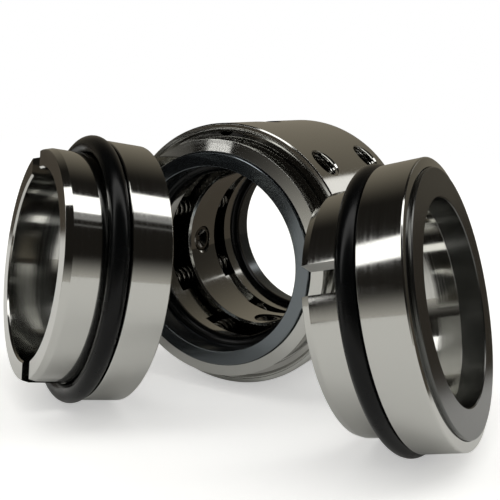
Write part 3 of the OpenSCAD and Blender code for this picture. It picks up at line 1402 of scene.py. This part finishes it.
@dataclass(frozen=True)
class RetainingRing:
    """The flat ring in the collar's mouth, with its removal notch and end gap."""

    end: End
    size: CollarSize

    def build(self, shop: Workshop) -> None:
        """Adds the ring.

        Args:
            shop: where the piece goes.
        """
        c = self.size
        bore = c.retainer_id / 2
        grip_r = c.flange_r + c.retainer_grip
        corners = [
            (bore, AT.retainer_in),
            (grip_r, AT.retainer_in),
            (grip_r, AT.retainer_out),
            (bore, AT.retainer_out),
        ]
        through = span(self.end, AT.retainer_in - PAST, AT.retainer_out + PAST)
        notch = prism(round_outline(c.notch_r, NOTCH_SIDES, c.notch_pitch_r), *through)
        gap = prism(box_outline(bore - PAST, grip_r + PAST, c.gap_width), *through)
        tools = [moved(notch, spun(c.notch_angle)), moved(gap, spun(c.gap_angle))]
        lathe = Turned(section(self.end, corners), fillet=0.12)
        mesh = lathe.machined(f"{self.end.word} retaining ring", tools)
        node = f"{self.end.word}_retaining_ring"
        shop.add(mesh, AXIS, Finish.STAMPED, "retainer_steel", ROOT, [node])


@dataclass(frozen=True)
class SlidingGroup:
    """What slides at one end: holder, face ring, shaft O-ring and thrust ring."""

    end: End
    collar: CollarSize
    size: SlidingSize

    @property
    def body(self) -> str:
        """The CAD body that the group rides on."""
        return self.node("face_unit")

    def node(self, what: str) -> str:
        """Name of a CAD node or body of this end, from the name without the end."""
        return f"{self.end.word}_{what}"

    def holder(self, shop: Workshop) -> None:
        """Adds the face holder.

        Args:
            shop: where the piece goes.
        """
        c, s = self.collar, self.size
        ring_r = s.shaft_ring + c.bore_r + s.ring_free
        face_r = s.face_r + SEATED
        nose_top = AT.nose_end + s.nose_rise
        corners = [
            (ring_r, AT.thrust_front + SEATED),
            (ring_r, AT.face_back - SEATED),
            (face_r, AT.face_back - SEATED),
            (face_r, nose_top - s.nose_break),
            (s.face_r + s.nose_edge, nose_top),
            (s.holder_r, AT.nose_end),
            (s.holder_r, AT.flange_front),
            (c.flange_r, AT.flange_front),
            (c.flange_r, AT.flange_back),
            (AT.skirt_out, AT.flange_back),
            (AT.skirt_out, AT.skirt_back),
            (AT.skirt_in, AT.skirt_back),
            (AT.skirt_in, AT.thrust_front + SEATED),
        ]
        outline = box_outline(AT.skirt_in - PAST, AT.skirt_out + 3 * PAST, 2 * (c.hole_r + FREE))
        stretch = span(self.end, 0, c.screw_offset + c.hole_r + s.stroke + FREE)
        tools = prisms(outline, stretch, c.drive_angles)
        outline = round_outline(c.notch_r, NOTCH_SIDES, c.notch_pitch_r)
        stretch = span(self.end, AT.flange_back - PAST, AT.flange_front + PAST / 2)
        tools += prisms(outline, stretch, [c.notch_angle])
        lathe = Turned(section(self.end, corners), fillet=0.1)
        mesh = lathe.machined(f"{self.end.word} face holder", tools)
        shop.add(mesh, AXIS, Finish.STAINLESS, "stainless", self.body, [self.node("face_holder")])

    def face(self, shop: Workshop) -> None:
        """Adds the lapped ring.

        Args:
            shop: where the piece goes.
        """
        corners = lapped_section(self.size, AT.face_back, AT.face_end)
        mesh = Turned(section(self.end, corners), fillet=0.06).machined(f"{self.end.word} face ring")
        shop.add(mesh, AXIS, Finish.ROTARY_FACE, "rotary_face", self.body, [self.node("face_ring")])

    def shaft_ring(self, shop: Workshop) -> None:
        """Adds the O-ring that seals on the shaft.

        Args:
            shop: where the piece goes.
        """
        s = self.size
        middle = self.end.value * (AT.thrust_front + AT.face_back) / 2
        centre = self.collar.bore_r + SEATED + s.shaft_ring / 2
        mesh = ring_mesh(f"{self.end.word} shaft O-ring", centre, middle, s.shaft_ring)
        shop.add(mesh, AXIS, Finish.RUBBER, "rubber", self.body, [self.node("shaft_ring")])

    def windows(self) -> list[Mesh]:
        """Cutters for the openings between the teeth, each with room for two springs.

        Returns:
            One cutter for each opening.
        """
        c, s = self.collar, self.size
        half_turn, half_width = math.pi / s.springs, s.window_width / 2
        cos, sin = math.cos(half_turn), math.sin(half_turn)
        edge = [
            (t * cos - half_width * sin, t * sin + half_width * cos)
            for t in (s.thrust_in - 5 * PAST, s.thrust_out + 6 * PAST)
        ]
        outline = [(x, -y) for x, y in edge] + edge[::-1]
        stretch = span(self.end, AT.thrust_back - PAST, AT.thrust_mid)
        return prisms(outline, stretch, angles_from(c.screw_angle + 180 / c.screws, c.screws))

    def dog_slots(self) -> list[Mesh]:
        """Cutters for the slots in the teeth that the drive screws' dogs stand in.

        Returns:
            One cutter for each drive screw.
        """
        c, s = self.collar, self.size
        inner = AT.drive_tip - s.dog_reach - SPARE
        outline = box_outline(inner, inner + 6 * PAST, s.dog_d + 2 * FREE)
        reach = s.dog_d / 2 + FREE
        stretch = span(self.end, c.screw_offset - reach, c.screw_offset + s.stroke + reach)
        return prisms(outline, stretch, c.drive_angles)

    def thrust(self, shop: Workshop) -> None:
        """Adds the toothed thrust ring.

        Args:
            shop: where the piece goes.
        """
        s = self.size
        chamfer, edge = s.thrust_chamfer, s.tooth_break
        corners = [
            (s.tooth_r + edge, AT.thrust_back),
            (s.thrust_out, AT.thrust_back),
            (s.thrust_out, AT.thrust_front),
            (s.thrust_in + chamfer, AT.thrust_front),
            (s.thrust_in, AT.thrust_front - chamfer),
            (s.thrust_in, AT.step_at + edge),
            (s.thrust_in + edge, AT.step_at),
            (s.tooth_r, AT.step_at),
            (s.tooth_r, AT.thrust_back + edge),
        ]
        lathe = Turned(section(self.end, corners))
        mesh = lathe.machined(f"{self.end.word} thrust ring", self.windows(), self.dog_slots())
        # the bore, the teeth's inner sides and the front end are polished; the rest is not, and gets the
        # recess finish darkened with painted shade
        bright_r, bright_from = s.tooth_r + 0.25, AT.thrust_front - 0.1
        shop.add(
            mesh,
            AXIS,
            Finish.STAINLESS,
            "stainless",
            self.body,
            [self.node("thrust_ring")],
            lambda radius, station: radius > bright_r and station < bright_from,
        )

    def build(self, shop: Workshop) -> None:
        """Adds the whole group.

        Args:
            shop: where the pieces go.
        """
        self.holder(shop)
        self.face(shop)
        self.shaft_ring(shop)
        self.thrust(shop)


def ring_mesh(name: str, centre: float, station: float, section_d: float) -> Mesh:
    """An O-ring with a round section and smooth normals.

    Args:
        name: name of the mesh.
        centre: radius of the section's centre.
        station: middle of the ring along the axis.
        section_d: diameter of the section.

    Returns:
        The mesh, in millimetres.
    """
    around, across = 200, 32
    r = section_d / 2
    points = []
    faces = []
    for j in range(around):
        a = 2 * math.pi * j / around
        for k in range(across):
            b = 2 * math.pi * k / across
            out = centre + r * math.cos(b)
            points.append((out * math.cos(a), out * math.sin(a), station + r * math.sin(b)))
            i, m = (j + 1) % around, (k + 1) % across
            faces.append([j * across + k, i * across + k, i * across + m, j * across + m])
    mesh = mesh_of(name, points, faces)
    mesh.polygons.foreach_set("use_smooth", [True] * len(mesh.polygons))
    return mesh


@dataclass(frozen=True)
class Springs:
    """The coil springs of one end."""

    end: End
    collar: CollarSize
    size: SlidingSize
    closed_turns: float = 0.8
    closed_lead: float = 1.02
    sides: int = 12
    steps_per_turn: int = 26
    # share of the coil to either side over which the wire's direction is taken
    reach: float = 0.001

    @property
    def low(self) -> float:
        """Station of the springs' feet in their pockets."""
        return self.collar.land - self.size.pocket + SEATED

    @property
    def high(self) -> float:
        """Station of the springs' tops under the thrust ring."""
        return AT.thrust_mid - SEATED

    def height(self, t: float) -> float:
        """Height of the wire's centre, with the first and last turn nearly closed.

        Args:
            t: share of the coil, from zero to one.

        Returns:
            Millimetres above the spring's foot.
        """
        s = self.size
        flat = self.closed_turns / s.turns
        lead = s.wire * self.closed_lead
        room = self.high - self.low - s.wire
        if t < flat:
            return s.wire / 2 + lead * t / flat
        if t > 1 - flat:
            return s.wire / 2 + room - lead * (1 - t) / flat
        return s.wire / 2 + lead + (room - 2 * lead) * (t - flat) / (1 - 2 * flat)

    def mesh(self, name: str) -> Mesh:
        """Sweeps the wire.

        Args:
            name: name of the mesh.

        Returns:
            One spring along Z from its foot, in millimetres.
        """
        s = self.size
        sides = self.sides
        steps = math.ceil(s.turns * self.steps_per_turn)
        coil = s.spring_od / 2 - s.wire / 2

        def at(t: float) -> Vector:
            """The wire's centre at a share of the coil."""
            a = 2 * math.pi * s.turns * t
            return Vector((coil * math.cos(a), coil * math.sin(a), self.low + self.height(t)))

        points = []
        faces = [list(range(sides))]
        for i in range(steps + 1):
            t = i / steps
            ahead = (at(min(1.0, t + self.reach)) - at(max(0.0, t - self.reach))).normalized()
            a = 2 * math.pi * s.turns * t
            out = Vector((math.cos(a), math.sin(a), 0))
            up = ahead.cross(out).normalized()
            for k in range(sides):
                b = 2 * math.pi * k / sides
                points.append(at(t) + (out * math.cos(b) + up * math.sin(b)) * (s.wire / 2))
            if i < steps:
                for k in range(sides):
                    m = (k + 1) % sides
                    low, high = i * sides, (i + 1) * sides
                    faces.append([low + k, high + k, high + m, low + m])
        faces.append([steps * sides + k for k in range(sides - 1, -1, -1)])
        mesh = mesh_of(name, points, faces)
        mesh.polygons.foreach_set("use_smooth", [len(f) == 4 for f in faces])
        return mesh

    def build(self, shop: Workshop) -> None:
        """Adds this end's springs.

        Args:
            shop: where the pieces go.
        """
        s = self.size
        flip = Matrix.Identity(4) if self.end is End.FRONT else Matrix.Rotation(math.pi, 4, "X")
        stand = Matrix.Translation((s.spring_pitch_r, 0, 0)) @ flip
        for number, angle in enumerate(s.spring_angles, 1):
            node = f"{self.end.word}_spring_{number}"
            place = AXIS @ spun(angle) @ stand
            mesh = self.mesh(node.replace("_", " "))
            piece = shop.add(mesh, place, Finish.WIRE, "spring_steel", ROOT, [node])
            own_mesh(piece)


@dataclass(frozen=True)
class Seat:
    """One stationary seat: housing, face ring and O-ring."""

    side: Side
    size: SeatSize
    pose: SeatPose
    floor: float

    @property
    def place(self) -> Matrix:
        """Where the seat stands, from its own axes: its lowest rim or its O-ring on the floor."""
        z, pose = self.size, self.pose
        t = math.radians(pose.tilt)
        c, s = math.cos(t), math.sin(t)
        height = self.floor + max(
            z.big_r * c - (z.big_length - z.edge) * s,
            (z.big_r - z.edge) * c - z.big_length * s,
            (z.small_r + z.ring / 2) * c + (z.ring / 2 + z.ring_free) * s + z.ring / 2,
            z.small_r * c + z.small_length * s,
        )
        turn = Matrix.Rotation(math.radians(pose.turn), 4, "Z") @ Matrix.Rotation(-t, 4, "Y")
        stand = Matrix(((0, 0, 1, 0), (1, 0, 0, 0), (0, 1, 0, 0), (0, 0, 0, 1)))
        return Matrix.Translation((pose.x, pose.y, height)) @ turn @ stand

    def housing(self) -> Mesh:
        """Turns the stepped housing and cuts its two slots.

        Returns:
            The mesh, in millimetres.
        """
        z = self.size
        front = z.big_length + z.edge
        back = z.big_length + z.proud - z.face_length - SEATED
        relief_r, face_r = z.small_r - z.relief, z.face_r + SEATED
        corners = [
            (z.bore_r + z.bore_break, -z.small_length),
            (z.small_r - z.lead_depth, -z.small_length),
            (z.small_r, -z.small_length + z.lead_length),
            (z.small_r, -z.relief_length),
            (relief_r, -z.relief_length / 2),
            (relief_r, 0),
            (z.big_r - z.relief, 0),
            (z.big_r, z.relief),
            (z.big_r, z.big_length - z.edge),
            (z.big_r - z.edge, z.big_length),
            (z.face_r + z.lip, front),
            (face_r, front - z.lip_break),
            (face_r, back),
            (z.bore_r, back),
            (z.bore_r, -z.small_length + z.bore_break),
        ]
        outline = box_outline(z.bore_r - 4 * PAST, z.bore_r + 8 * PAST, z.slot_width)
        stretch = (-z.small_length - PAST, z.slot_length - z.small_length)
        slots = prisms(outline, stretch, angles_from(self.pose.slot_angle, z.slots))
        return Turned(corners, fillet=0.12).machined(f"{self.side.value} seat body", slots)

    def face(self) -> Mesh:
        """Turns the lapped ring.

        Returns:
            The mesh, in millimetres.
        """
        z = self.size
        end = z.big_length + z.proud
        corners = lapped_section(z, end - z.face_length, end)
        return Turned(corners).machined(f"{self.side.value} seat face")

    def build(self, shop: Workshop) -> None:
        """Adds the three pieces.

        Args:
            shop: where the pieces go.
        """
        z, word, place = self.size, self.side.value, self.place
        shop.add(self.housing(), place, Finish.STAINLESS, "stainless", ROOT, [f"{word}_seat_body"])
        shop.add(self.face(), place, Finish.SEAT_FACE, "seat_face", ROOT, [f"{word}_seat_face"])
        centre = z.small_r + z.ring_free + z.ring / 2
        mesh = ring_mesh(f"{word} seat O-ring", centre, -z.ring / 2 - z.ring_free, z.ring)
        shop.add(mesh, place, Finish.RUBBER, "rubber", ROOT, [f"{word}_seat_ring"])


# Studio


@dataclass(frozen=True)
class CameraPose:
    """The camera that the photograph's ellipses were solved for, in millimetres and degrees."""

    x: float = 97.2
    y: float = -183.4
    z: float = 40.2
    heading: float = 119.15
    pitch: float = -11.5
    roll: float = 2.3
    focal_px: float = 808.0
    photo_px: float = 500.0
    sensor: float = 36.0
    nearest: float = 5.0

    def build(self) -> None:
        """Adds the camera and makes it the scene's camera."""
        data = bpy.data.cameras.new("camera")
        data.sensor_width = self.sensor
        data.lens = self.sensor * self.focal_px / self.photo_px
        data.clip_start = self.nearest * MM
        h, p, r = (math.radians(a) for a in (self.heading, self.pitch, self.roll))
        ahead = Vector((math.cos(h) * math.cos(p), math.sin(h) * math.cos(p), math.sin(p)))
        right = Vector((math.sin(h), -math.cos(h), 0))
        up = right.cross(ahead)
        x_axis = right * math.cos(r) + up * math.sin(r)
        y_axis = -right * math.sin(r) + up * math.cos(r)
        camera = bpy.data.objects.new("camera", data)
        bpy.context.scene.collection.objects.link(camera)
        turn = Matrix((x_axis, y_axis, -ahead)).transposed().to_4x4()
        camera.matrix_world = Matrix.Translation(Vector((self.x, self.y, self.z)) * MM) @ turn
        bpy.context.scene.camera = camera


@dataclass(frozen=True)
class Room:
    """The dim workshop that polished steel mirrors.

    It has a ceiling strip with a shelf below it, a back wall, a small lamp, a slatted window
    and a pale horizon. Ranges are parts of a direction of length one, and a slope is the part
    across the ceiling strip over the part up.
    """

    heading: float = 118.0
    strip_heading: float = 131.0
    strip: float = 2.4
    strip_slope: Point2 = (-0.33, 0.03)
    strip_up: Point2 = (0.25, 0.45)
    shelf: float = 0.3
    shelf_slope: Point2 = (-0.5, -0.33)
    shelf_edge: Point2 = (-0.67, -0.63)
    shelf_side: Point2 = (0.3, 0.5)
    lamp: float = 1.1
    lamp_up: Point2 = (0.27, 0.42)
    lamp_side: Point2 = (0.575, 0.72)
    lamp_away: Point2 = (0.3, 0.4)
    window: float = 2.0
    window_heading: float = -122.5
    window_up: Point2 = (0.23, 0.31)
    window_across: Point2 = (-0.062, 0.062)
    window_away: Point2 = (-0.3, -0.2)
    slats: float = 400.0
    wall: str = "#878072"
    wall_away: Point2 = (0.35, 1.05)
    dark: str = "#211f1c"
    horizon: str = "#cfccc4"
    horizon_up: Point2 = (-0.12, 0.34)
    horizon_away: Point2 = (-0.1, 0.3)
    shoulder: Point2 = (-0.1, 0.14)
    fill: float = 0.5
    fill_up: Point2 = (0.0, 0.5)

    def lights(
        self, nodes: Nodes, up: Socket, away: Socket, side: Socket, across: Socket, louvre: Socket
    ) -> Socket:
        """The ceiling strip and its shelf, the small lamp behind and the slatted window in front.

        Args:
            nodes: the world's nodes.
            up: height of the direction.
            away: its component away from the camera.
            side: its component to the right.
            across: its component across the ceiling strip.
            louvre: its component to the right of the slatted window.

        Returns:
            Their strength.
        """
        slope = nodes.math("DIVIDE", across, nodes.math("MAXIMUM", up, 0.05))
        strip = nodes.product(
            nodes.band(slope, *self.strip_slope, soft=0.015),
            nodes.ramp(up, *self.strip_up, 0.0, self.strip),
        )
        # a dimmer shelf below the strip, with the thin bright edge of the next one
        shelf = nodes.product(nodes.band(slope, *self.shelf_slope, soft=0.02), self.shelf)
        edge = nodes.product(nodes.band(slope, *self.shelf_edge, soft=0.01), self.shelf / 2)
        shelf = nodes.product(nodes.total(shelf, edge), nodes.ramp(side, *self.shelf_side))
        lamp = nodes.product(
            nodes.band(up, *self.lamp_up, soft=0.01),
            nodes.band(side, *self.lamp_side, soft=0.01),
            nodes.ramp(away, *self.lamp_away, 0.0, self.lamp),
        )
        window = nodes.product(
            nodes.band(up, *self.window_up, soft=0.004),
            nodes.band(louvre, *self.window_across, soft=0.003),
            nodes.ramp(away, *self.window_away, self.window, 0.0),
            nodes.ramp(nodes.math("SINE", nodes.product(louvre, self.slats)), -0.6, 0.2),
        )
        return nodes.total(strip, shelf, lamp, window)

    def build(self) -> None:
        """Builds the world."""
        world = bpy.data.worlds.new("workshop")
        bpy.context.scene.world = world
        world.use_nodes = True
        tree = world.node_tree
        tree.nodes.clear()
        nodes = Nodes(tree)
        direction = nodes.place("Generated")
        up = add_node(tree, "ShaderNodeSeparateXYZ", None, {0: direction}).outputs[2]
        away, side = nodes.axes(direction, self.heading)
        across, _ = nodes.axes(direction, self.strip_heading)
        _, louvre = nodes.axes(direction, self.window_heading)
        lights = self.lights(nodes, up, away, side, across, louvre)
        wall = nodes.mix(nodes.ramp(away, *self.wall_away), self.dark, self.wall)
        # the floor's light fades upward, but the part behind the camera's left shoulder stays dark
        low = nodes.product(
            nodes.ramp(up, *self.horizon_up, 1.0, 0.0),
            nodes.ramp(away, *self.horizon_away, 1.0, 0.0),
            nodes.math("SUBTRACT", 1.0, nodes.band(louvre, *self.shoulder, soft=0.01)),
        )
        air = nodes.mix(low, wall, self.horizon)
        room = add_node(tree, "ShaderNodeBackground", {"Strength": 1.0}, {"Color": air})
        # a wide soft light overhead that only matt surfaces show, so that the bench has its shadows
        path = add_node(tree, "ShaderNodeLightPath")
        overhead = nodes.ramp(up, *self.fill_up, 0.0, self.fill)
        lights = nodes.total(lights, nodes.product(overhead, path.outputs["Is Diffuse Ray"]))
        lit = add_node(tree, "ShaderNodeBackground", {"Color": srgb("#fffefc")}, {"Strength": lights})
        both = add_node(tree, "ShaderNodeAddShader", None, {0: room.outputs[0], 1: lit.outputs[0]})
        white = add_node(tree, "ShaderNodeBackground", {"Color": WHITE, "Strength": 1.0})
        shaders = {0: path.outputs["Is Camera Ray"], 1: both.outputs[0], 2: white.outputs[0]}
        mix = add_node(tree, "ShaderNodeMixShader", None, shaders)
        add_node(tree, "ShaderNodeOutputWorld", None, {"Surface": mix.outputs[0]})


@dataclass(frozen=True)
class Floor:
    """The pale bench: white to the eye, with the set's soft shadow on it. Ranges are metres."""

    height: float
    half_size: float = 6.0
    paper: str = "#efefed"
    glow: float = 0.42
    white_from: Point2 = (0.25, 0.8)
    gone: str = "#524c44"
    gone_behind: Point2 = (0.03, 0.06)
    sector_heading: float = -122.5
    sector_slant: Point2 = (-0.22, 0.14)
    sector_ahead: Point2 = (0.29, 0.31)
    sheen: float = 0.05

    def mirrored(self, nodes: Nodes) -> bpy.types.Node:
        """What polished steel sees of the bench: pale near the set, dark behind it and further out.

        Args:
            nodes: the material's nodes.

        Returns:
            The shader.
        """
        place = nodes.place()
        behind = add_node(nodes.tree, "ShaderNodeSeparateXYZ", None, {0: place}).outputs[1]
        ahead, right = nodes.axes(place, self.sector_heading)
        slant = nodes.math("DIVIDE", right, nodes.math("MAXIMUM", ahead, 0.01))
        sector = nodes.product(
            nodes.band(slant, *self.sector_slant, soft=0.01), nodes.ramp(ahead, *self.sector_ahead)
        )
        gone = nodes.math("MAXIMUM", nodes.ramp(behind, *self.gone_behind), sector)
        shade = nodes.mix(gone, self.paper, self.gone)
        spill = add_node(nodes.tree, "ShaderNodeEmission", {"Strength": self.sheen}, {"Color": shade})
        dull = add_node(nodes.tree, "ShaderNodeBsdfDiffuse", None, {"Color": shade})
        return add_node(nodes.tree, "ShaderNodeAddShader", None, {0: dull.outputs[0], 1: spill.outputs[0]})

    def paint(self) -> bpy.types.Material:
        """Builds the bench's material.

        Returns:
            The finished material.
        """
        block = bpy.data.materials.new("matt white paper")
        block.use_nodes = True
        tree = block.node_tree
        tree.nodes.clear()
        nodes = Nodes(tree)
        matt = add_node(tree, "ShaderNodeBsdfDiffuse", {"Color": srgb(self.paper)})
        glow = add_node(tree, "ShaderNodeEmission", {"Color": WHITE, "Strength": self.glow})
        lit = add_node(tree, "ShaderNodeAddShader", None, {0: matt.outputs[0], 1: glow.outputs[0]})
        white = add_node(tree, "ShaderNodeEmission", {"Color": WHITE, "Strength": 1.0})
        reach = add_node(tree, "ShaderNodeVectorMath", {"operation": "LENGTH"}, {0: nodes.place()})
        far = nodes.ramp(reach.outputs["Value"], *self.white_from)
        eye = add_node(tree, "ShaderNodeMixShader", None, {0: far, 1: lit.outputs[0], 2: white.outputs[0]})
        seen = add_node(tree, "ShaderNodeLightPath").outputs["Is Camera Ray"]
        shaders = {0: seen, 1: self.mirrored(nodes).outputs[0], 2: eye.outputs[0]}
        mix = add_node(tree, "ShaderNodeMixShader", None, shaders)
        add_node(tree, "ShaderNodeOutputMaterial", None, {"Surface": mix.outputs[0]})
        return block

    def build(self) -> None:
        """Adds the floor as stage."""
        reach, z = self.half_size, self.height * MM
        corners = [(x, y, z) for x, y in box_outline(-reach, reach, 2 * reach)]
        mesh = mesh_of("floor", corners, [range(4)])
        mesh.materials.append(self.paint())
        floor = bpy.data.objects.new("floor", mesh)
        bpy.context.scene.collection.objects.link(floor)


def main() -> None:
    """Builds the looks around the frame."""
    logging.basicConfig(level=logging.INFO, format="%(message)s")
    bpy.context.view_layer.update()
    shop = Workshop(Paint())
    Collar(COLLAR, SLIDING).build(shop)
    Screws(COLLAR, SLIDING).build(shop)
    log.info("collar and screws built")
    for end in End:
        RetainingRing(end, COLLAR).build(shop)
        SlidingGroup(end, COLLAR, SLIDING).build(shop)
        Springs(end, COLLAR, SLIDING).build(shop)
    log.info("sliding groups built")
    for side in Side:
        Seat(side, SEAT, POSES[side], -COLLAR.rim).build(shop)
    log.info("seats built, %d pieces in all", len(shop.made))
    Floor(-COLLAR.rim - FLOOR_GAP).build()
    Room().build()
    CameraPose().build()
    bpy.context.scene.view_settings.view_transform = "Standard"


if __name__ == "__main__":
    main()
